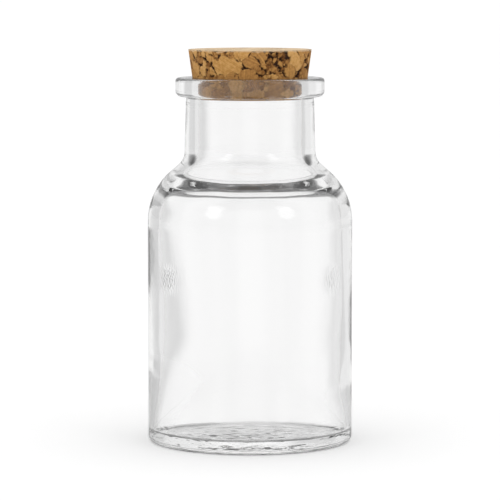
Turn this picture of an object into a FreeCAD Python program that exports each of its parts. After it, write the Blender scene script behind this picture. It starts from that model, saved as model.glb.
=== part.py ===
"""Round apothecary-style glass bottle, with a stopper of agglomerated cork pressed into its mouth.

The bottle is one blown piece. Its wall is thick and thin, as blowing leaves it: thin at the heel,
thickest in its lower half, thinner towards the shoulder, and heavy again in the ring of glass
under the neck, where the inside turns more bluntly than the outside. Its base is pushed up, so
that it stands on a ring, and its mouth ends in a rolled bead with a rounded edge.
The stopper is a tapered plug, drawn as it is when fitted: squeezed to the bore below the lip and
still tapered above it.

Frame: origin at the middle of the standing ring, +Z up the bottle's axis, millimetres.
"""

import FreeCAD, Part
import math
import os

# Bottle, outside
BODY_RADIUS = 30.0
BODY_HEIGHT = 64.8  # top of the straight side
SHOULDER_ROUND = 19.2
SHOULDER_SLOPE = 49.0  # degrees between the shoulder's steepest line and the axis
NECK_RADIUS = 18.7  # under the lip
NECK_DRAFT = 1.7  # degrees, wider towards the shoulder
NECK_FOOT_ROUND = 5.2
BOTTLE_HEIGHT = 106.8
LIP_RADIUS = 21.8
LIP_HEIGHT = 5.5
LIP_TOP_ROUND = 0.9
LIP_UNDER_ROUND = 1.7
HEEL_ROUND = 1.7

# Neck-ring parting line, a fine raised witness of the mould joint
PARTING_DROP = 7.9  # below the top of the lip
PARTING_PROUD = 0.12
PARTING_WIDTH = 0.9

# Base
RING_INNER_RADIUS = 24.5
RING_INNER_ROUND = 0.5
PUSH_UP = 0.4
PUSH_UP_CROWN = 9.0  # radius at which the push-up's slope meets its level middle
PUSH_UP_ROUND = 40.0
BASE_THICKNESS = 3.4  # glass over the middle of the push-up
FLOOR_EDGE_HEIGHT = 3.7
FLOOR_CROWN = 9.0
FLOOR_ROUND = 40.0
FLOOR_CORNER_ROUND = 0.6

# Wall
WALL_AT_FLOOR = 1.8
WALL_AT_BELLY = 4.2
BELLY_HEIGHT = 26.6
BELLY_ROUND = 60.0
WALL_UNDER_SHOULDER = 3.2
UNDER_SHOULDER_DROP = 10.2  # below the corner that the shoulder rounds
UNDER_SHOULDER_ROUND = 9.7
BORE_RADIUS = 15.2
MOUTH_ROUND = 1.6

# Inside of the shoulder, from its edge to the foot of the bore. Drops are straight down from the
# outside's slope, which is taken as a straight line.
WALL_AT_SHOULDER = 4.1
SHOULDER_DROP = 4.5
INNER_SHOULDER_ROUND = 8.1
INNER_SLOPE_RADIUS = 20.0
INNER_SLOPE_DROP = 5.7
INNER_SLOPE_ROUND = 5.6
BORE_FOOT_DROP = 3.4
BORE_FOOT_ROUND = 9.0

# Stopper
STOPPER_CLEARANCE = 0.05  # between the squeezed cork and the glass
STOPPER_DEPTH = 5.9  # below the top of the lip
STOPPER_PROUD = 8.3  # above the top of the lip
STOPPER_TAPER = 8.1  # degrees a side


def rounded_outline(corners):
    """Edges of an open outline in the XZ plane, through corners of (radius, height, rounding).

    Straight runs are joined by arcs tangent to both. An arc of radius q in a corner of angle a
    starts q / tan(a / 2) along each run, and its middle lies q / sin(a / 2) - q from the corner.
    """
    points = [FreeCAD.Vector(radius, 0, height) for radius, height, _ in corners]
    edges = []
    start = points[0]
    for index in range(1, len(points) - 1):
        corner = points[index]
        rounding = corners[index][2]
        back = (points[index - 1] - corner).normalize()
        ahead = (points[index + 1] - corner).normalize()
        end = corner
        leave = corner
        if rounding > 0:
            half = back.getAngle(ahead) / 2
            reach = rounding / math.tan(half)
            end = corner + back * reach
            leave = corner + ahead * reach
            middle = corner + (back + ahead).normalize() * (rounding / math.sin(half) - rounding)
        edges.append(Part.LineSegment(start, end).toShape())
        if rounding > 0:
            edges.append(Part.Arc(end, middle, leave).toShape())
        start = leave
    edges.append(Part.LineSegment(start, points[-1]).toShape())
    return edges


def turned(corners):
    """Solid of revolution about the Z axis; the outline starts and ends on the axis."""
    edges = rounded_outline(corners)
    first = FreeCAD.Vector(corners[0][0], 0, corners[0][1])
    last = FreeCAD.Vector(corners[-1][0], 0, corners[-1][1])
    edges.append(Part.LineSegment(last, first).toShape())
    face = Part.Face(Part.Wire(edges))
    solid = face.revolve(FreeCAD.Vector(0, 0, 0), FreeCAD.Vector(0, 0, 1), 360)
    if solid.Volume < 0:
        solid.reverse()
    return solid


def neck_radius_at(height):
    """Outside radius of the neck, which widens downwards by its draft."""
    lip_underside = BOTTLE_HEIGHT - LIP_HEIGHT
    return NECK_RADIUS + (lip_underside - height) * math.tan(math.radians(NECK_DRAFT))


def bottle():
    slope = math.radians(SHOULDER_SLOPE)
    draft = math.tan(math.radians(NECK_DRAFT))
    lip_underside = BOTTLE_HEIGHT - LIP_HEIGHT

    # The corner that the shoulder rounds, and the foot of the neck where the slope meets the draft
    shoulder_corner = BODY_HEIGHT + SHOULDER_ROUND * math.tan(slope / 2)
    neck_foot = (
        BODY_RADIUS + shoulder_corner * math.tan(slope) - NECK_RADIUS - lip_underside * draft
    ) / (math.tan(slope) - draft)

    def slope_height(radius):
        """Height of the outside's slope at a radius."""
        return shoulder_corner + (BODY_RADIUS - radius) / math.tan(slope)

    inner_shoulder = BODY_RADIUS - WALL_AT_SHOULDER
    floor_middle = PUSH_UP + BASE_THICKNESS
    parting = BOTTLE_HEIGHT - PARTING_DROP
    half_parting = PARTING_WIDTH / 2

    return turned([
        (0, PUSH_UP, 0),
        (PUSH_UP_CROWN, PUSH_UP, PUSH_UP_ROUND),
        (RING_INNER_RADIUS, 0, RING_INNER_ROUND),
        (BODY_RADIUS, 0, HEEL_ROUND),
        (BODY_RADIUS, shoulder_corner, SHOULDER_ROUND),
        (neck_radius_at(neck_foot), neck_foot, NECK_FOOT_ROUND),
        (neck_radius_at(parting - half_parting), parting - half_parting, 0),
        (neck_radius_at(parting) + PARTING_PROUD, parting, 0),
        (neck_radius_at(parting + half_parting), parting + half_parting, 0),
        (NECK_RADIUS, lip_underside, 0),
        (LIP_RADIUS, lip_underside, LIP_UNDER_ROUND),
        (LIP_RADIUS, BOTTLE_HEIGHT, LIP_TOP_ROUND),
        (BORE_RADIUS, BOTTLE_HEIGHT, MOUTH_ROUND),
        (BORE_RADIUS, slope_height(BORE_RADIUS) - BORE_FOOT_DROP, BORE_FOOT_ROUND),
        (INNER_SLOPE_RADIUS, slope_height(INNER_SLOPE_RADIUS) - INNER_SLOPE_DROP, INNER_SLOPE_ROUND),
        (inner_shoulder, slope_height(inner_shoulder) - SHOULDER_DROP, INNER_SHOULDER_ROUND),
        (BODY_RADIUS - WALL_UNDER_SHOULDER, shoulder_corner - UNDER_SHOULDER_DROP, UNDER_SHOULDER_ROUND),
        (BODY_RADIUS - WALL_AT_BELLY, BELLY_HEIGHT, BELLY_ROUND),
        (BODY_RADIUS - WALL_AT_FLOOR, FLOOR_EDGE_HEIGHT, FLOOR_CORNER_ROUND),
        (FLOOR_CROWN, floor_middle, FLOOR_ROUND),
        (0, floor_middle, 0),
    ])


def cork_stopper():
    squeezed = BORE_RADIUS - STOPPER_CLEARANCE
    lip_plane = BOTTLE_HEIGHT + STOPPER_CLEARANCE
    top = BOTTLE_HEIGHT + STOPPER_PROUD
    bottom = BOTTLE_HEIGHT - STOPPER_DEPTH
    # The cork swells just over the rounded mouth, and widens from there by its taper
    shoulder = BORE_RADIUS + MOUTH_ROUND + STOPPER_CLEARANCE
    top_radius = shoulder + (top - lip_plane) * math.tan(math.radians(STOPPER_TAPER))
    return turned([
        (0, bottom, 0),
        (squeezed, bottom, 0),
        (squeezed, lip_plane, MOUTH_ROUND + STOPPER_CLEARANCE),
        (shoulder, lip_plane, 0),
        (top_radius, top, 0),
        (0, top, 0),
    ])


os.makedirs("parts", exist_ok=True)
for name, solid in (("bottle", bottle()), ("cork_stopper", cork_stopper())):
    solid.exportStep(f"parts/{name}.step")
    box = solid.optimalBoundingBox()
    print(
        f"{name}: valid {solid.isValid()}, {len(solid.Solids)} solid, {solid.Volume / 1000:.2f} cm3, "
        f"{box.XLength:.2f} x {box.YLength:.2f} x {box.ZLength:.2f} mm"
    )
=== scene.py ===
# %% [markdown]
# A glass bottle with a cork stopper, as a lesson in cells.
#
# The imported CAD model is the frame: it says how large the bottle and the cork are and where they
# stand. Blender adds what a solid can't hold, which is the uneven inside that blowing leaves in
# glass, and the granules that agglomerated cork is pressed from. Each new piece is made at its
# place in metres and rides on the CAD body that it belongs to.

# %% Load the frame
import math

import bpy
import numpy as np
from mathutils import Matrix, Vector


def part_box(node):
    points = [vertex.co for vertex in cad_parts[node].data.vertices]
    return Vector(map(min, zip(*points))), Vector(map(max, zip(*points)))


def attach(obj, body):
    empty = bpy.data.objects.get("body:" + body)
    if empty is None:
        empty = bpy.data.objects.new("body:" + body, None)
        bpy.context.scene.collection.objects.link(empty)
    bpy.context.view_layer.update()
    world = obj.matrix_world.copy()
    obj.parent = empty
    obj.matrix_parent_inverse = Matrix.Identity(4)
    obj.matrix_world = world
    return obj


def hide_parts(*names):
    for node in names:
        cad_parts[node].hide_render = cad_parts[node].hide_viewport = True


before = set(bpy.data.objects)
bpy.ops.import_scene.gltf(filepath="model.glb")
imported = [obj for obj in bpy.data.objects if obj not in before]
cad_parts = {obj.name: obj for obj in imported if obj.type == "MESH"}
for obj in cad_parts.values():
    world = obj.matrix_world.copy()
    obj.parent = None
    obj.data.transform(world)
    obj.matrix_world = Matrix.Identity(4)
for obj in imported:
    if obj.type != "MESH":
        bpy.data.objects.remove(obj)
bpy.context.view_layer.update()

MM = 0.001
scene = bpy.context.scene
scene.view_settings.view_transform = "Standard"
GLASS_BOUNCES = 12  # light runs round inside a thick wall, and each total reflection is a glossy bounce
scene.cycles.glossy_bounces = GLASS_BOUNCES

BODY_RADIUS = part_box("bottle")[1].x
BOTTLE_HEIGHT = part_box("bottle")[1].z
CORK_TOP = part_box("cork_stopper")[1].z
CORK_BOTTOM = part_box("cork_stopper")[0].z
CORK_TOP_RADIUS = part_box("cork_stopper")[1].x
print(f"bottle {2000 * BODY_RADIUS:.1f} mm across and {1000 * BOTTLE_HEIGHT:.1f} mm tall")
print(f"cork from {1000 * CORK_BOTTOM:.1f} to {1000 * CORK_TOP:.1f} mm up")

# %% [markdown]
# A photograph of a small product is taken from some distance with a long lens, so that upright
# lines stay nearly parallel. The camera stands 0.85 m in front of the bottle and a little above
# its mouth, and its lens is long enough for the bottle to fill most of the frame. Its angle down
# follows from the point that it looks at, on the bottle's axis.

# %% Camera
CAMERA_DISTANCE = 850 * MM
CAMERA_HEIGHT = 139 * MM
LOOK_AT_HEIGHT = 56.2 * MM
SENSOR_WIDTH = 36.0  # in millimetres, as lens makers give it
LENS = 209.3

camera = bpy.data.objects.new("camera", bpy.data.cameras.new("camera"))
scene.collection.objects.link(camera)
scene.camera = camera
camera.data.sensor_width = SENSOR_WIDTH
camera.data.lens = LENS
look_down = math.atan2(CAMERA_HEIGHT - LOOK_AT_HEIGHT, CAMERA_DISTANCE)
camera.location = (0, -CAMERA_DISTANCE, CAMERA_HEIGHT)
camera.rotation_euler = (math.pi / 2 - look_down, 0, 0)
print(f"camera looks down by {math.degrees(look_down):.2f} degrees")

# %% [markdown]
# Materials, lights and the floor are all node trees, so one small function adds a node, sets its
# properties and fills its inputs. A socket among the inputs is linked, and any other value is
# set. Colours are written as the hex values that a paint chart gives, and one function turns
# them to the linear values that the renderer adds and multiplies.

# %% Nodes and colours
def add_node(tree, kind, inputs=None, **properties):
    """Add one node, set its properties, and fill its inputs: a socket is linked, a value is set."""
    made = tree.nodes.new(kind)
    for name, value in properties.items():
        setattr(made, name, value)
    for key, value in (inputs or {}).items():
        if isinstance(value, bpy.types.NodeSocket):
            tree.links.new(value, made.inputs[key])
        else:
            made.inputs[key].default_value = value
    return made


def maths(tree, operation, first, second=0.0):
    """Output of one Math node, for readable sums of sockets and numbers."""
    return add_node(tree, "ShaderNodeMath", {0: first, 1: second}, operation=operation).outputs[0]


def ramp(tree, value, start, end, low=0.0, high=1.0):
    """Smooth step of a value: low below start, high above end."""
    limits = {"Value": value, "From Min": start, "From Max": end, "To Min": low, "To Max": high}
    return add_node(tree, "ShaderNodeMapRange", limits, interpolation_type="SMOOTHSTEP").outputs[0]


def linear(hex_code):
    """Linear RGBA of an sRGB hex colour: c / 12.92 up to 0.04045, else ((c + 0.055) / 1.055) ** 2.4."""
    coded = np.array([int(hex_code[i:i + 2], 16) for i in (1, 3, 5)]) / 255
    low = coded / 12.92
    high = ((coded + 0.055) / 1.055) ** 2.4
    return (*np.where(coded <= 0.04045, low, high).tolist(), 1.0)


print("middle grey in linear light:", round(linear("#808080")[0], 3))

# %% [markdown]
# Clear glass has no colour of its own to show. The eye finds it by what it bends and mirrors: in
# an evenly white room it would vanish. A studio for glass is therefore white behind the bottle,
# a little greyer to the sides, and dark above the top of the white backdrop. The walls bend the
# grey sides into view as soft bands, and the shoulder, which bends rays upwards, shows the dark.
# All of that could be modelled as panels, but other cameras would then see them, so it is a world
# whose brightness depends on direction. Only rays that left the glass see it: the camera itself
# sees plain white, and matt surfaces are lit by an even, soft dome. The grey repeats every
# quarter turn and the dark every half turn, for views from other sides.

# %% World
BACK_WHITE = 0.97
LEFT_GREY = 0.68  # the left side of the room is darker than the right side
RIGHT_GREY = 0.84
SIDE_TURN = (11.0, 22.0)  # degrees to the side, from the start to the end of the change to grey
SIDE_TOP = (12.0, 20.0)  # degrees above level, where the sides turn white again
HAZE_FOOT = (11.0, 16.0)  # where the white fades to the haze under the dark
HAZE_GREY = 0.3
DARK_FOOT = (15.0, 20.0)
DARK_TOP = (55.0, 70.0)  # where the room turns white again
DARK_GREY = 0.08
DARK_TURN = (35.0, 55.0)
ROOM_LEVEL = 0.6  # what the outside of the glass mirrors
DOME_LEVEL = 0.85  # what matt surfaces receive from the sky
QUARTER, HALF = 90.0, 180.0  # degrees after which a pattern repeats


def degrees_aside(tree, across, along, pattern):
    """Signed degrees from a level direction to the nearest of those that repeat every pattern degrees.

    The turn from +Y, plus half the pattern, is taken modulo the pattern. Less half the pattern,
    it is below zero to the left and above zero to the right.
    """
    turn = maths(tree, "DEGREES", maths(tree, "ARCTAN2", across, along))
    within = maths(tree, "FLOORED_MODULO", maths(tree, "ADD", turn, pattern / 2), pattern)
    return maths(tree, "SUBTRACT", within, pattern / 2)


def blend(tree, share, low, high):
    """Output of a Mix node: low where share is 0, high where it is 1."""
    return add_node(tree, "ShaderNodeMix", {0: share, 2: low, 3: high}).outputs[0]


def side_level(tree, across, along, white):
    """The white behind the bottle, fading to the left grey and to the right grey."""
    aside = degrees_aside(tree, across, along, QUARTER)
    level = blend(tree, ramp(tree, aside, -SIDE_TURN[1], -SIDE_TURN[0]), LEFT_GREY, white)
    return blend(tree, ramp(tree, aside, *SIDE_TURN), level, RIGHT_GREY)


world = bpy.data.worlds.new("white studio")
scene.world = world
world.use_nodes = True
sky = world.node_tree
sky.nodes.clear()
direction = add_node(sky, "ShaderNodeTexCoord").outputs["Generated"]
ray = add_node(sky, "ShaderNodeSeparateXYZ", {0: direction})
elevation = maths(sky, "DEGREES", maths(sky, "ARCSINE", ray.outputs["Z"]))
aside = maths(sky, "ABSOLUTE", degrees_aside(sky, ray.outputs["X"], ray.outputs["Y"], HALF))
behind = ramp(sky, aside, *DARK_TURN, 1.0, 0.0)
haze = maths(sky, "MULTIPLY", behind, ramp(sky, elevation, *HAZE_FOOT))
above_foot = maths(sky, "MULTIPLY", behind, ramp(sky, elevation, *DARK_FOOT))
below_top = ramp(sky, elevation, *DARK_TOP, 1.0, 0.0)
dark = maths(sky, "MULTIPLY", above_foot, below_top)
low_level = side_level(sky, ray.outputs["X"], ray.outputs["Y"], BACK_WHITE)
level = blend(sky, ramp(sky, elevation, *SIDE_TOP), low_level, 1.0)
level = blend(sky, maths(sky, "MULTIPLY", haze, below_top), level, HAZE_GREY)
level = blend(sky, dark, level, DARK_GREY)
path = add_node(sky, "ShaderNodeLightPath")
through = path.outputs["Is Transmission Ray"]
mirrored = maths(sky, "MAXIMUM", maths(sky, "SUBTRACT", path.outputs["Is Glossy Ray"], through), 0.0)
level = blend(sky, mirrored, level, ROOM_LEVEL)
level = blend(sky, path.outputs["Is Diffuse Ray"], level, DOME_LEVEL)
level = blend(sky, path.outputs["Is Camera Ray"], level, 1.0)
shine = add_node(sky, "ShaderNodeBackground", {"Color": linear("#FFFFFF"), "Strength": level})
add_node(sky, "ShaderNodeOutputWorld", {"Surface": shine.outputs[0]})
print("world of", len(sky.nodes), "nodes")

# %% [markdown]
# Two large soft lamps stand in front, to the left and to the right. They give the cork its
# shading and put one faint soft highlight each on the neck and on the shoulder. Their strength
# is worked out from how bright their face should look, because a lamp's watts spread over its
# area: the power of a flat lamp is its face's brightness times its area times pi.

# %% Lamps
LAMP_TURN = 43.0  # degrees left and right of the camera
LAMP_RISE = 23.0
LAMP_DISTANCE = 1.3
LAMP_SIZE = 0.42
LAMP_BRIGHTNESS = 1.8

for name, side in (("lamp_left", -1), ("lamp_right", 1)):
    lamp = bpy.data.lights.new(name, "AREA")
    lamp.shape = "DISK"
    lamp.size = LAMP_SIZE
    lamp.energy = LAMP_BRIGHTNESS * math.pi * math.pi * (LAMP_SIZE / 2) ** 2
    holder = bpy.data.objects.new(name, lamp)
    scene.collection.objects.link(holder)
    level_distance = LAMP_DISTANCE * math.cos(math.radians(LAMP_RISE))
    across = side * math.sin(math.radians(LAMP_TURN)) * level_distance
    forward = -math.cos(math.radians(LAMP_TURN)) * level_distance
    holder.location = (across, forward, math.sin(math.radians(LAMP_RISE)) * LAMP_DISTANCE)
    holder.rotation_euler = (math.radians(90 - LAMP_RISE), 0, side * math.radians(LAMP_TURN))
    holder.visible_camera = False
    print(name, f"{lamp.energy:.2f} W")

# %% [markdown]
# The floor is a plain pale sheet. Its colour is most of its white, and a share of it glows for
# the camera and for rays that come through the glass, so that the background stays white while
# the soft shadow under the bottle still shows. Seen through the glass it turns grey to the sides,
# as the world does.

# %% Floor
FLOOR_HALF = 12.0
FLOOR_COLOUR = "#F4F4F4"
CAMERA_GLOW = 0.26  # added white that doesn't depend on the lamps, for the camera
GLASS_GLOW = 0.19  # and for rays that come through the glass

floor_corners = [(x * FLOOR_HALF, y * FLOOR_HALF, 0) for x, y in ((-1, -1), (1, -1), (1, 1), (-1, 1))]
floor_mesh = bpy.data.meshes.new("floor")
floor_mesh.from_pydata(floor_corners, [], [(0, 1, 2, 3)])
floor = bpy.data.objects.new("floor", floor_mesh)
scene.collection.objects.link(floor)

paper = bpy.data.materials.new("matt white paper")
paper.use_nodes = True
tree = paper.node_tree
tree.nodes.clear()
spot = add_node(tree, "ShaderNodeSeparateXYZ", {0: add_node(tree, "ShaderNodeTexCoord").outputs["Object"]})
path = add_node(tree, "ShaderNodeLightPath")
through = path.outputs["Is Transmission Ray"]
shade = blend(tree, through, 1.0, side_level(tree, spot.outputs["X"], spot.outputs["Y"], 1.0))
glow = maths(tree, "MULTIPLY", path.outputs["Is Camera Ray"], CAMERA_GLOW)
glow = blend(tree, through, glow, GLASS_GLOW)
white = maths(tree, "MULTIPLY", shade, linear(FLOOR_COLOUR)[0])
matt = add_node(tree, "ShaderNodeBsdfDiffuse", {"Color": white})
glow = add_node(tree, "ShaderNodeEmission", {"Strength": maths(tree, "MULTIPLY", glow, shade)})
sheet = add_node(tree, "ShaderNodeAddShader", {0: matt.outputs[0], 1: glow.outputs[0]})
add_node(tree, "ShaderNodeOutputMaterial", {"Surface": sheet.outputs[0]})
floor_mesh.materials.append(paper)
print("floor", 2 * FLOOR_HALF, "m wide")

# %% [markdown]
# The bottle is blown, so it is round but its wall is thick and thin. A turned shape is a profile
# of radius and height carried round the axis. The profile is given by its few real corners, each
# with the radius that rounds it, because that is how a mould drawing gives it. Every straight
# run and every arc is then filled with points at a named spacing.

# %% Profile of a turned piece
def rounded_profile(corners, spacing, arc_step=6.0):
    """Points (radius, height) along straight runs joined by tangent arcs.

    Each corner is (radius, height, rounding). For a corner of half angle h, an arc of radius q
    leaves each run at q / tan(h) from the corner, and its centre lies q / sin(h) along the
    bisector. Runs are cut every spacing, and arcs every arc_step degrees.
    """
    points = np.array([corner[:2] for corner in corners], float)
    parts = [points[:1]]
    start = points[0]
    for index in range(1, len(points)):
        corner = points[index]
        rounding = corners[index][2]
        end = corner
        if rounding > 0:
            back = (points[index - 1] - corner) / np.linalg.norm(points[index - 1] - corner)
            ahead = (points[index + 1] - corner) / np.linalg.norm(points[index + 1] - corner)
            half = math.acos(float(back @ ahead)) / 2
            end = corner + back * rounding / math.tan(half)
        count = max(1, math.ceil(np.linalg.norm(end - start) / spacing))
        share = np.linspace(0, 1, count + 1)[1:, None]
        parts.append(start + (end - start) * share)
        start = end
        if rounding > 0:
            leave = corner + ahead * rounding / math.tan(half)
            bisector = (back + ahead) / np.linalg.norm(back + ahead)
            centre = corner + bisector * rounding / math.sin(half)
            first = math.atan2(*(end - centre)[::-1])
            sweep = (math.atan2(*(leave - centre)[::-1]) - first + math.pi) % (2 * math.pi) - math.pi
            count = max(4, math.ceil(abs(math.degrees(sweep)) / arc_step))
            angle = first + sweep * np.linspace(0, 1, count + 1)[1:]
            parts.append(centre + rounding * np.stack([np.cos(angle), np.sin(angle)], 1))
            start = leave
    return np.concatenate(parts)


def smooth_step(value, start, end):
    """Eased step: t * t * (3 - 2 t), with t the share of the way from start to end, kept in 0..1."""
    share = np.clip((value - start) / (end - start), 0, 1)
    return share * share * (3 - 2 * share)


def window(value, start, end, fade):
    """1 between start and end, fading to 0 over fade on both sides."""
    return smooth_step(value, start - fade, start) * (1 - smooth_step(value, end, end + fade))


# %% [markdown]
# What blowing and pressing leave in glass is slow, irregular waviness. A sum of a few dozen
# cosines with random directions gives it: each term is cos(n * angle + k * height + phase), with
# a whole number n so that it closes round the axis. The seed is fixed, so that the bottle comes
# out the same each time.

# %% Waviness
def waviness(angle, height, most_round, shortest, seed, terms=28):
    """Unit random field on the wall: the mean of cos(n angle + k height + phase), scaled to spread 1.

    n runs up to most_round waves round the axis, and k up to one wave in the shortest length.
    """
    dice = np.random.default_rng(seed)
    field = np.zeros(np.broadcast(angle, height).shape)
    for _ in range(terms):
        around = dice.integers(1, most_round + 1)
        along = dice.uniform(-1, 1) * 2 * math.pi / shortest
        field += np.cos(around * angle + along * height + dice.uniform(0, 2 * math.pi))
    return field * math.sqrt(2 / terms)


# %% [markdown]
# A turned mesh is a grid of rings, one ring for each point of the profile, with a single point
# at each end on the axis. Quads join neighbouring rings, and a fan of triangles closes each pole.
# All corners are computed as whole arrays, and Blender receives them in a few bulk calls.

# %% Mesh from rings
def mesh_from_rings(name, radius, height, turn_angle, bottom, top):
    """Closed mesh from grids (rings, segments) of radius and height, and the two pole heights.

    A point is (radius cos angle, radius sin angle, height). Rings go from the bottom pole, up the
    outside, to the top pole, and faces then point outwards.
    """
    rings, segments = radius.shape
    ring_points = np.stack([radius * np.cos(turn_angle), radius * np.sin(turn_angle), height], -1)
    poles = [[0, 0, bottom], [0, 0, top]]
    points = np.concatenate([ring_points.reshape(-1, 3), poles])
    ring = np.arange(rings - 1)[:, None] * segments
    here = np.arange(segments)
    after = (here + 1) % segments
    quads = np.stack([ring + here, ring + after, ring + segments + after, ring + segments + here], -1)
    last_ring = (rings - 1) * segments
    low_pole = rings * segments
    low_fan = np.stack([np.full(segments, low_pole), after, here], -1)
    high_fan = np.stack([np.full(segments, low_pole + 1), last_ring + here, last_ring + after], -1)
    loops = np.concatenate([quads.ravel(), low_fan.ravel(), high_fan.ravel()])
    sizes = np.concatenate([np.full(quads.size // 4, 4), np.full(2 * segments, 3)])
    starts = np.concatenate([[0], np.cumsum(sizes)[:-1]])
    mesh = bpy.data.meshes.new(name)
    mesh.vertices.add(len(points))
    mesh.vertices.foreach_set("co", points.astype(np.float32).ravel())
    mesh.loops.add(len(loops))
    mesh.loops.foreach_set("vertex_index", loops.astype(np.int32))
    mesh.polygons.add(len(sizes))
    mesh.polygons.foreach_set("loop_start", starts.astype(np.int32))
    mesh.polygons.foreach_set("loop_total", sizes.astype(np.int32))
    mesh.polygons.foreach_set("use_smooth", np.ones(len(sizes), bool))
    mesh.update()
    mesh.validate()
    return mesh


# %% [markdown]
# The bottle's outside is what the mould gave it: a straight side, a rounded shoulder, a short
# neck with a fine parting line, and a rolled lip. The inside was never touched by a tool. Its
# shoulder is blunter than the outside, its wall is thickest low down, where the glass settled,
# and its floor meets the wall in a tight corner.

# %% Bottle profile
SHOULDER_ROUND = 19.2 * MM
SHOULDER_CORNER = 73.55 * MM  # height at which the shoulder's slope would meet the side
SHOULDER_SLOPE = 49.0  # degrees from the axis
NECK_RADIUS = 18.7 * MM
NECK_DRAFT = math.tan(math.radians(1.7))
NECK_FOOT_ROUND = 5.2 * MM
LIP_RADIUS = 21.8 * MM
LIP_HEIGHT = 5.5 * MM
LIP_UNDERSIDE = BOTTLE_HEIGHT - LIP_HEIGHT
LIP_UNDER_ROUND = 1.7 * MM
LIP_CREASE_ROUND = 0.5 * MM  # where the neck meets the lip's underside
LIP_TOP_ROUND = 0.9 * MM
HEEL_ROUND = 1.7 * MM
PARTING_HEIGHT = BOTTLE_HEIGHT - 7.9 * MM
PARTING_HALF = 0.45 * MM
PARTING_PROUD = 0.05 * MM
PARTING_ROUND = 0.3 * MM
BORE_RADIUS = 15.2 * MM
MOUTH_ROUND = 1.6 * MM
BORE_FOOT = (83.0 * MM, 10.4 * MM)  # height, rounding
INNER_SLOPE = (20.0 * MM, 76.6 * MM, 5.6 * MM)  # radius, height, rounding
INNER_SHOULDER = (25.9 * MM, 72.7 * MM, 8.1 * MM)
UNDER_SHOULDER = (26.8 * MM, 63.4 * MM, 9.7 * MM)
BELLY = (25.8 * MM, 26.6 * MM, 60.0 * MM)
FLOOR_EDGE = (28.2 * MM, 3.7 * MM, 0.6 * MM)
FLOOR_CROWN = 9.0 * MM
FLOOR_MIDDLE = 3.8 * MM
PUSH_UP = 0.4 * MM
PUSH_UP_CROWN = 9.0 * MM
RING_INNER = (24.5 * MM, 0.0, 0.5 * MM)
CROWN_ROUND = 40.0 * MM
OUTSIDE_SPACING = 1.2 * MM
INSIDE_SPACING = 0.6 * MM  # finer, because the bands in the glass show every facet of the inside


def neck_radius(height):
    """Outside radius of the neck, which widens downwards by its draft."""
    return NECK_RADIUS + (LIP_UNDERSIDE - height) * NECK_DRAFT


slope = math.tan(math.radians(SHOULDER_SLOPE))
slope_at_axis = BODY_RADIUS + SHOULDER_CORNER * slope
draft_at_axis = NECK_RADIUS + LIP_UNDERSIDE * NECK_DRAFT
neck_foot = (slope_at_axis - draft_at_axis) / (slope - NECK_DRAFT)
lip_middle = (LIP_RADIUS + BORE_RADIUS) / 2
outside = rounded_profile([
    (0, PUSH_UP, 0),
    (PUSH_UP_CROWN, PUSH_UP, CROWN_ROUND),
    RING_INNER,
    (BODY_RADIUS, 0, HEEL_ROUND),
    (BODY_RADIUS, SHOULDER_CORNER, SHOULDER_ROUND),
    (neck_radius(neck_foot), neck_foot, NECK_FOOT_ROUND),
    (neck_radius(PARTING_HEIGHT), PARTING_HEIGHT - PARTING_HALF, PARTING_ROUND),
    (neck_radius(PARTING_HEIGHT) + PARTING_PROUD, PARTING_HEIGHT, PARTING_ROUND),
    (neck_radius(PARTING_HEIGHT), PARTING_HEIGHT + PARTING_HALF, PARTING_ROUND),
    (NECK_RADIUS, LIP_UNDERSIDE, LIP_CREASE_ROUND),
    (LIP_RADIUS, LIP_UNDERSIDE, LIP_UNDER_ROUND),
    (LIP_RADIUS, BOTTLE_HEIGHT, LIP_TOP_ROUND),
    (lip_middle, BOTTLE_HEIGHT, 0),
], OUTSIDE_SPACING)
inside = rounded_profile([
    (lip_middle, BOTTLE_HEIGHT, 0),
    (BORE_RADIUS, BOTTLE_HEIGHT, MOUTH_ROUND),
    (BORE_RADIUS, *BORE_FOOT),
    INNER_SLOPE,
    INNER_SHOULDER,
    UNDER_SHOULDER,
    BELLY,
    FLOOR_EDGE,
    (FLOOR_CROWN, FLOOR_MIDDLE, CROWN_ROUND),
    (0, FLOOR_MIDDLE, 0),
], INSIDE_SPACING)
print(len(outside), "points outside and", len(inside), "inside")

# %% [markdown]
# The two profiles become one closed shell. The outside stays true to the mould. The inside gets
# the signs of blowing: the hollow stands a little off the axis, so one wall is thicker, long
# shallow waves run down the wall, the right side has a thick sag near its foot, the shoulder has
# an irregular settle line, and the floor is rippled in a faint swirl.

# %% Bottle shell
SEGMENTS = 216
HOLLOW_SHIFT = 0.5 * MM  # the left wall is thicker than the right one
SETTLE_DEPTH = 0.03 * MM
WALL_WAVE = 0.020 * MM
SAG_DEPTH = 0.35 * MM
SAG_HEIGHT = 17.0 * MM
SAG_REACH = 5.0 * MM
FLOOR_RIPPLE = 0.025 * MM
SWIRL_DEPTH = 0.035 * MM
SWIRL_WAVE = 5.0 * MM
SWIRL_RING = (7 * MM, 18 * MM, 4 * MM)  # radii from and to, and the fade beyond them
UNEVEN_WALL = (33 * MM, 40 * MM, 27 * MM)  # heights from and to, and a long fade beyond them
SETTLE_LINE = (70 * MM, 75 * MM, 2 * MM)
FLOOR_TOP = (5 * MM, 8 * MM)  # heights over which the floor's ripple ends
RIPPLE_START = 6 * MM  # radius at which the floor's ripple is full
SAG_NARROWING = 6  # power of the cosine that keeps the sag to one side

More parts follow.
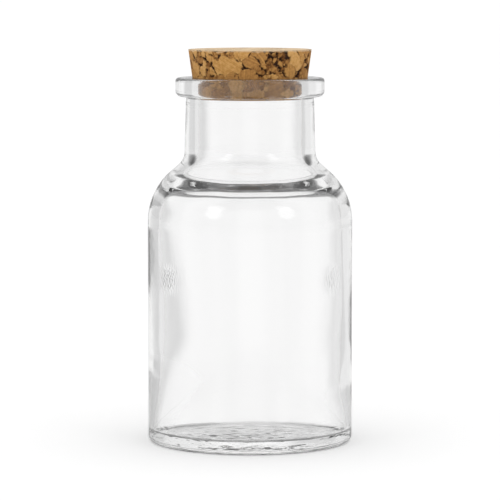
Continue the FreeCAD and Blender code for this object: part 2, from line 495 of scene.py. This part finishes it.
angle = np.linspace(0, 2 * math.pi, SEGMENTS, endpoint=False)[None, :]
profile = np.concatenate([outside[1:], inside[1:-1]])
is_inside = (np.arange(len(profile)) >= len(outside) - 1)[:, None]
ring_radius = profile[:, :1]
ring_height = profile[:, 1:]
wall = is_inside * window(ring_height, *UNEVEN_WALL)
settle = is_inside * window(ring_height, *SETTLE_LINE)
low = is_inside * (1 - smooth_step(ring_height, *FLOOR_TOP)) * smooth_step(ring_radius, 0, RIPPLE_START)
sag = is_inside * np.exp(-((ring_height - SAG_HEIGHT) / SAG_REACH) ** 2)
sag = sag * np.clip(np.cos(angle), 0, 1) ** SAG_NARROWING
radius_grid = (
    ring_radius
    + wall * HOLLOW_SHIFT * np.cos(angle)
    + wall * WALL_WAVE * waviness(angle, ring_height, most_round=14, shortest=60 * MM, seed=4)
    + settle * SETTLE_DEPTH * waviness(angle, ring_height, most_round=18, shortest=30 * MM, seed=7)
    - SAG_DEPTH * sag
)
swirl = np.cos(2 * math.pi * ring_radius / SWIRL_WAVE + 2 * angle)
height_grid = ring_height + low * (
    FLOOR_RIPPLE * waviness(angle, ring_radius, most_round=12, shortest=7 * MM, seed=12)
    + SWIRL_DEPTH * swirl * window(ring_radius, *SWIRL_RING)
)
glass_mesh = mesh_from_rings("blown_bottle", radius_grid, height_grid, angle, PUSH_UP, FLOOR_MIDDLE)
bottle = bpy.data.objects.new("blown_bottle", glass_mesh)
scene.collection.objects.link(bottle)
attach(bottle, "bottle")
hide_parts("bottle")
print("bottle shell:", len(glass_mesh.polygons), "faces")

# %% [markdown]
# Soda-lime glass, blown and fire-finished, is smooth enough to mirror, with an index of
# refraction of 1.52. What the eye gets from it is bending and a faint waviness of the highlights.
# Its own colour is nearly nothing: clear container glass takes out a very little light. Its heel
# is ripply, where the hot glass met the cold mould, and there is a small hammered patch high on
# each side of the front. Both are bumps too fine for the mesh. Noise runs from 0 to 1, so a half
# is taken off before it is masked, and a patch then has no step round its edge.

# %% Glass
NOISE_MIDDLE = 0.5
GLASS_WAVE_LENGTH = 9 * MM
GLASS_WAVE = 0.04  # heights of waves, ripples and grain are in millimetres
HEEL_WAVE_LENGTH = 3.5 * MM
HEEL_FLATTENED = 3.0  # heel ripples are this much longer round the bottle than they are high
HEEL_RIPPLE = 0.10
HEEL_TOP = (3.5 * MM, 7.0 * MM)
GRAIN_LENGTH = 0.5 * MM
GRAIN = 0.4
PATCH_ACROSS = (20.0 * MM, 22.5 * MM)
PATCH_EDGE = (23.0 * MM, 27.0 * MM)
PATCH_FROM_AXIS = (28.5 * MM, 29.5 * MM)  # on the outside only, as the wall is 3 to 4 mm thick
PATCH_BOTTOM = (44.0 * MM, 48.5 * MM)
PATCH_TOP = (50.5 * MM, 55.0 * MM)

glass = bpy.data.materials.new("soda_lime_glass_blown")
glass.use_nodes = True
tree = glass.node_tree
tree.nodes.clear()
place = add_node(tree, "ShaderNodeTexCoord").outputs["Object"]
spot = add_node(tree, "ShaderNodeSeparateXYZ", {0: place})
wave_inputs = {"Vector": place, "Scale": 1 / GLASS_WAVE_LENGTH, "Detail": 2.0}
wave = add_node(tree, "ShaderNodeTexNoise", wave_inputs)
flat = add_node(tree, "ShaderNodeMapping", {"Vector": place, "Scale": (1, 1, HEEL_FLATTENED)}).outputs[0]
heel = add_node(tree, "ShaderNodeTexNoise", {"Vector": flat, "Scale": 1 / HEEL_WAVE_LENGTH, "Detail": 1.0})
grain = add_node(tree, "ShaderNodeTexNoise", {"Vector": place, "Scale": 1 / GRAIN_LENGTH, "Detail": 1.0})
in_heel = ramp(tree, spot.outputs["Z"], *HEEL_TOP, 1.0, 0.0)
across = maths(tree, "ABSOLUTE", spot.outputs["X"])
flat_place = add_node(tree, "ShaderNodeVectorMath", {0: place, 1: (1, 1, 0)}, operation="MULTIPLY")
from_axis = add_node(tree, "ShaderNodeVectorMath", {0: flat_place.outputs[0]}, operation="LENGTH")
from_axis = from_axis.outputs["Value"]
in_patch = maths(tree, "LESS_THAN", spot.outputs["Y"], 0.0)
for limit in (
    ramp(tree, across, *PATCH_ACROSS),
    ramp(tree, across, *PATCH_EDGE, 1.0, 0.0),
    ramp(tree, from_axis, *PATCH_FROM_AXIS),
    ramp(tree, spot.outputs["Z"], *PATCH_BOTTOM),
    ramp(tree, spot.outputs["Z"], *PATCH_TOP, 1.0, 0.0),
):
    in_patch = maths(tree, "MULTIPLY", in_patch, limit)
waves = maths(tree, "MULTIPLY", wave.outputs[0], GLASS_WAVE)
for noise, mask, height in ((heel, in_heel, HEEL_RIPPLE), (grain, in_patch, GRAIN)):
    evened = maths(tree, "SUBTRACT", noise.outputs[0], NOISE_MIDDLE)
    part = maths(tree, "MULTIPLY", maths(tree, "MULTIPLY", evened, mask), height)
    waves = maths(tree, "ADD", waves, part)
bump = add_node(tree, "ShaderNodeBump", {"Height": waves, "Strength": 1.0, "Distance": 1 * MM})
shader = add_node(tree, "ShaderNodeBsdfPrincipled", {
    "Base Color": linear("#FEFEFE"),
    "Roughness": 0.0,
    "IOR": 1.52,
    "Transmission Weight": 1.0,
    "Normal": bump.outputs[0],
})
add_node(tree, "ShaderNodeOutputMaterial", {"Surface": shader.outputs[0]})
glass_mesh.materials.append(glass)
print("glass material ready")

# %% [markdown]
# Agglomerated cork is made of ground cork, from dust to chips of 7 mm, pressed together with a
# binder and turned to shape. A turned face cuts straight through large pale chips, and between
# them lie small brown crumbs and open pits. Cells give that: each chip has a centre, a size and
# a long axis, and a point of the surface belongs to the chip that is nearest after its size is
# taken off the distance. Where two chips are equally near there is a seam.

# %% Cork chips
POINTS_AT_ONCE = 4000  # keeps the table of distances small


def rough_field(points, wave_length, seed, terms=24):
    """Random field in space, spread 1: the sum of cos(k . p + phase) over random directions of k.

    Every k is 2 pi / wave_length long, and the sum is scaled by the root of 2 / terms.
    """
    dice = np.random.default_rng(seed)
    ways = dice.normal(0, 1, (3, terms))
    ways /= np.linalg.norm(ways, axis=0)
    phases = dice.uniform(0, 2 * math.pi, terms)
    return np.cos(points @ ways * (2 * math.pi / wave_length) + phases).sum(1) * math.sqrt(2 / terms)


def chip_field(points, centres, sizes, axes, stretch=0.6):
    """For each point: the chip it is in, and how much farther the second and third chips are.

    With d from a chip's centre to the point, the distance is the root of |d|^2 - stretch (axis . d)^2,
    less the chip's size. The stretch makes a chip longer along its axis.
    """
    owner = np.empty(len(points), int)
    second = np.empty(len(points))
    third = np.empty(len(points))
    for start in range(0, len(points), POINTS_AT_ONCE):
        rows = slice(start, start + POINTS_AT_ONCE)
        part = points[rows]
        square = (part ** 2).sum(1)[:, None] - 2 * part @ centres.T + (centres ** 2).sum(1)
        along = part @ axes.T - (centres * axes).sum(1)
        away = np.sqrt(np.maximum(square - stretch * along ** 2, 0)) - sizes
        near = np.sort(np.partition(away, 2, axis=1)[:, :3], axis=1)
        owner[rows] = away.argmin(1)
        second[rows] = near[:, 1] - near[:, 0]
        third[rows] = near[:, 2] - near[:, 0]
    return owner, second, third


CORK_SEGMENTS = 600
BIG_CHIPS, MIDDLE_CHIPS, CRUMBS = 70, 520, 3400
BIG_SIZE, MIDDLE_SIZE, CRUMB_SIZE = (1.9, 3.6), (0.6, 1.5), (0.0, 0.45)  # millimetres
CENTRE_SPREAD = 0.5 * MM  # chip centres lie this far off the surface, above and below
WARPS = ((2.4 * MM, 0.13 * MM, (1, 2, 3)), (0.9 * MM, 0.07 * MM, (4, 5, 6)))  # wave, reach, seeds
MOUTH_CLEARANCE = 0.05 * MM
BOTTOM_SPACING, SIDE_SPACING, TOP_SPACING = 0.9 * MM, 0.19 * MM, 0.32 * MM
MOUTH_ARC_STEP = 15.0  # degrees
squeezed = BORE_RADIUS - MOUTH_CLEARANCE
seat = BOTTLE_HEIGHT + MOUTH_CLEARANCE
swell = BORE_RADIUS + MOUTH_ROUND + MOUTH_CLEARANCE
cork_bottom_line = rounded_profile([(0, CORK_BOTTOM, 0), (squeezed, CORK_BOTTOM, 0)], BOTTOM_SPACING)
cork_side_line = rounded_profile([
    (squeezed, CORK_BOTTOM, 0),
    (squeezed, seat, MOUTH_ROUND + MOUTH_CLEARANCE),
    (swell, seat, 0),
    (CORK_TOP_RADIUS, CORK_TOP, 0),
], SIDE_SPACING, MOUTH_ARC_STEP)
cork_top_line = rounded_profile([(CORK_TOP_RADIUS, CORK_TOP, 0), (0, CORK_TOP, 0)], TOP_SPACING)
cork_profile = np.concatenate([cork_bottom_line[1:], cork_side_line[1:], cork_top_line[1:-1]])
cork_angle = np.linspace(0, 2 * math.pi, CORK_SEGMENTS, endpoint=False)[None, :]
cork_radius = np.repeat(cork_profile[:, :1], CORK_SEGMENTS, 1)
cork_height = np.repeat(cork_profile[:, 1:], CORK_SEGMENTS, 1)
surface = np.stack([cork_radius * np.cos(cork_angle), cork_radius * np.sin(cork_angle), cork_height], -1)
surface = surface.reshape(-1, 3)

counts = (BIG_CHIPS, MIDDLE_CHIPS, CRUMBS)
dice = np.random.default_rng(23)
step = np.linalg.norm(np.gradient(cork_profile, axis=0), axis=1)
area = np.repeat(cork_profile[:, 0] * step, CORK_SEGMENTS)
centres = surface[dice.choice(len(surface), sum(counts), p=area / area.sum())]
centres = centres + dice.normal(0, CENTRE_SPREAD, centres.shape)
ranges = zip((BIG_SIZE, MIDDLE_SIZE, CRUMB_SIZE), counts)
sizes = np.concatenate([dice.uniform(*limits, count) for limits, count in ranges]) * MM
axes = dice.normal(0, 1, centres.shape)
axes /= np.linalg.norm(axes, axis=1, keepdims=True)
warp = np.zeros(surface.shape)
for wave_length, reach, seeds in WARPS:
    warp += np.stack([rough_field(surface, wave_length, seed) for seed in seeds], 1) * reach
owner, second, third = chip_field(surface + warp, centres, sizes, axes)
print(len(surface), "points in", len(np.unique(owner)), "chips")

# %% [markdown]
# The seams and pits are real hollows: the surface sinks there, the more the deeper the pit is.
# Seams are hairlines in most places and open to dark crevices in some. Inside the mouth the cork
# is squeezed against the glass, and there they are nearly shut, so that the cork there is paler:
# partly from the squeeze, and partly painted light, for the light that comes up through the neck.
# The rim of the top is worn, a little lower and rounder here and there. The points keep four values
# for the material: the chip's tone, its share of seam, a grain coordinate that runs in another
# direction in each chip, and how far the point is into the top zone, whose colour gets a painted
# sheen and which also gets a sheen lobe.

# %% Cork mesh
HAIRLINE = 0.10 * MM
CREVICE = 0.34 * MM
GAPING = (0.1, 1.3)  # values of the rough field at which seams start to gape, and gape fully
SHUT_SEAM = 0.45  # share of its depth that a seam keeps where it is a hairline
PIT_CORE, PIT_WIDTH = 0.15 * MM, 0.55 * MM
SEAM_DEPTH = 0.20 * MM
PIT_DEPTH = 0.50 * MM
RIM_WEAR = 0.22 * MM
RIM_WIDTH = 0.6 * MM
FLAT_TOP = 0.02 * MM  # points within this of the top are on it
LIP_FADE = 0.8 * MM  # height over which the cork opens up above the lip
# in the mouth, seams and pits are kept shallower and paler: partly the squeeze, partly painted light from
# below through the neck
SEAMS_SHUT_AND_PAINTED_LIT, PITS_SHUT_AND_PAINTED_LIT = 0.3, 0.2  # shares that stay where the glass squeezes the cork
# depth and fade of the top zone, whose colour gets the painted pale sheen and which also gets the sheen
# lobe
TOP_SHEEN_DEPTH, TOP_SHEEN_FADE = 0.45 * MM, 0.25 * MM
TOP_SHEEN_WOBBLE = 0.12 * MM
BIG_TONES, MIDDLE_TONES, CRUMB_TONES = (0.55, 0.95), (0.35, 1.0), (0.05, 0.85)  # 0 dark, 1 pale

small_from = BIG_CHIPS + MIDDLE_CHIPS
chip_tone = dice.uniform(*MIDDLE_TONES, len(centres))
chip_tone[:BIG_CHIPS] = dice.uniform(*BIG_TONES, BIG_CHIPS)
chip_tone[small_from:] = dice.uniform(*CRUMB_TONES, len(centres) - small_from)
chip_grain = dice.normal(0, 1, (len(centres), 3))
chip_grain /= np.linalg.norm(chip_grain, axis=1, keepdims=True)
gape = rough_field(surface, 4.0 * MM, seed=8) + 0.5 * rough_field(surface, 1.6 * MM, seed=9)
openness = smooth_step(gape, *GAPING)
seam_width = HAIRLINE + (CREVICE - HAIRLINE) * openness
seam = 1 - smooth_step(second, 0.3 * seam_width, seam_width)
seam = seam * (SHUT_SEAM + (1 - SHUT_SEAM) * openness)
pit = 1 - smooth_step(third, PIT_CORE, PIT_WIDTH)
pit = pit * smooth_step(rough_field(surface, 2.0 * MM, seed=10), 0.0, 0.9)
radius_of_point = cork_radius.ravel()
height_of_point = cork_height.ravel()
above_lip = smooth_step(height_of_point, seat, seat + LIP_FADE)
on_top = height_of_point > CORK_TOP - FLAT_TOP
# shallower and paler seams and pits inside the mouth: the squeeze, and painted light coming up through the
# neck
seam = seam * (SEAMS_SHUT_AND_PAINTED_LIT + (1 - SEAMS_SHUT_AND_PAINTED_LIT) * above_lip)
pit = pit * (PITS_SHUT_AND_PAINTED_LIT + (1 - PITS_SHUT_AND_PAINTED_LIT) * above_lip)
sink = SEAM_DEPTH * seam + PIT_DEPTH * pit
wear = rough_field(surface, 3.0 * MM, seed=11) + 0.8 * rough_field(surface, 1.2 * MM, seed=12)
rim = smooth_step(height_of_point, CORK_TOP - RIM_WIDTH, CORK_TOP)
rim = rim * smooth_step(radius_of_point, CORK_TOP_RADIUS - RIM_WIDTH, CORK_TOP_RADIUS)
worn = RIM_WEAR * rim * np.clip(0.5 + 0.5 * wear, 0.1, 1.6)
inward = np.where(on_top, 0, sink) + 0.6 * worn
downward = np.where(on_top, 0.4 * sink, 0) + worn
cork_radius = cork_radius - inward.reshape(cork_radius.shape)
cork_height = cork_height - downward.reshape(cork_height.shape)
cork_mesh = mesh_from_rings("pressed_cork", cork_radius, cork_height, cork_angle, CORK_BOTTOM, CORK_TOP)
# wobbly lower edge of the top zone with the painted pale sheen
top_sheen_from = CORK_TOP - TOP_SHEEN_DEPTH + TOP_SHEEN_WOBBLE * wear
values = {
    "tone": chip_tone[owner],
    "seam": np.clip(seam + pit, 0, 1),
    "grain": np.einsum("ij,ij->i", surface, chip_grain[owner]) / MM,
    "top_sheen": smooth_step(height_of_point, top_sheen_from, top_sheen_from + TOP_SHEEN_FADE),
}
for name, value in values.items():
    layer = cork_mesh.attributes.new(name, "FLOAT", "POINT")
    layer.data.foreach_set("value", np.append(value, [0.5, 0.5]).astype(np.float32))
cork = bpy.data.objects.new("pressed_cork", cork_mesh)
scene.collection.objects.link(cork)
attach(cork, "stopper")
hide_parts("cork_stopper")
print("cork:", len(cork_mesh.polygons), "faces")

# %% [markdown]
# Agglomerated cork, pressed and turned, is matt and warm. The chips run from golden tan through
# reddish brown to dark bark, with fine streaks of grain, and the binder and pits between them are
# nearly black-brown. A speckle of 0.8 mm stands for the pores, which are too fine to show. The
# top's colour is mixed towards a pale cream, a painted sheen for the light from behind that the
# top catches at a grazing view, and a real cream sheen lobe is laid over the top as well.

# %% Cork material
BINDER = "#2E1402"
# pale cream: mixed into the top's colour as a painted sheen, at the share below, and also the tint of the
# real sheen lobe
NAP_AND_PAINTED_SHEEN = "#EBD9BC"
SPECKLE_SHARE, STREAK_SHARE = 0.7, 0.6  # how much speckle and grain change a chip's tone
PAINTED_SHEEN_SHARE = 0.35
CHIP_COLOURS = ((0.0, "#6E4218"), (0.3, "#8F5F2A"), (0.55, "#AD7B42"), (0.8, "#C6924F"), (1.0, "#D8A766"))

cork_look = bpy.data.materials.new("agglomerated_cork_turned")
cork_look.use_nodes = True
tree = cork_look.node_tree
tree.nodes.clear()
place = add_node(tree, "ShaderNodeTexCoord").outputs["Object"]
kept = {name: add_node(tree, "ShaderNodeAttribute", attribute_name=name).outputs["Fac"] for name in values}
speckle = add_node(tree, "ShaderNodeTexNoise", {"Vector": place, "Scale": 1 / (0.8 * MM), "Detail": 3.0})
streak_inputs = {"W": kept["grain"], "Scale": 2.4, "Detail": 2.0}
streak = add_node(tree, "ShaderNodeTexNoise", streak_inputs, noise_dimensions="1D")
speckled = maths(tree, "MULTIPLY", maths(tree, "SUBTRACT", speckle.outputs[0], NOISE_MIDDLE), SPECKLE_SHARE)
streaked = maths(tree, "MULTIPLY", maths(tree, "SUBTRACT", streak.outputs[0], NOISE_MIDDLE), STREAK_SHARE)
mixed = maths(tree, "ADD", maths(tree, "ADD", kept["tone"], speckled), streaked)
chips = add_node(tree, "ShaderNodeValToRGB", {"Fac": mixed})
stops = chips.color_ramp.elements
stops[0].position, stops[0].color = CHIP_COLOURS[0][0], linear(CHIP_COLOURS[0][1])
stops[1].position, stops[1].color = CHIP_COLOURS[-1][0], linear(CHIP_COLOURS[-1][1])
for position, colour in CHIP_COLOURS[1:-1]:
    stops.new(position).color = linear(colour)
bound = {0: kept["seam"], 6: chips.outputs[0], 7: linear(BINDER)}
bound = add_node(tree, "ShaderNodeMix", bound, data_type="RGBA").outputs[2]
# painted sheen: the top's colour is mixed towards the pale cream
painted_sheen = {0: maths(tree, "MULTIPLY", kept["top_sheen"], PAINTED_SHEEN_SHARE), 6: bound, 7: linear(NAP_AND_PAINTED_SHEEN)}
painted_sheen = add_node(tree, "ShaderNodeMix", painted_sheen, data_type="RGBA").outputs[2]
pore_depth = {"Height": speckle.outputs[0], "Strength": 0.5, "Distance": 0.15 * MM}
pores = add_node(tree, "ShaderNodeBump", pore_depth)
shader = add_node(tree, "ShaderNodeBsdfPrincipled", {
    "Base Color": painted_sheen,
    "Roughness": 0.85,
    "Specular IOR Level": 0.3,
    "Sheen Weight": kept["top_sheen"],
    "Sheen Roughness": 0.4,
    "Sheen Tint": linear(NAP_AND_PAINTED_SHEEN),
    "Normal": pores.outputs[0],
})
add_node(tree, "ShaderNodeOutputMaterial", {"Surface": shader.outputs[0]})
cork_mesh.materials.append(cork_look)
print("cork material ready")
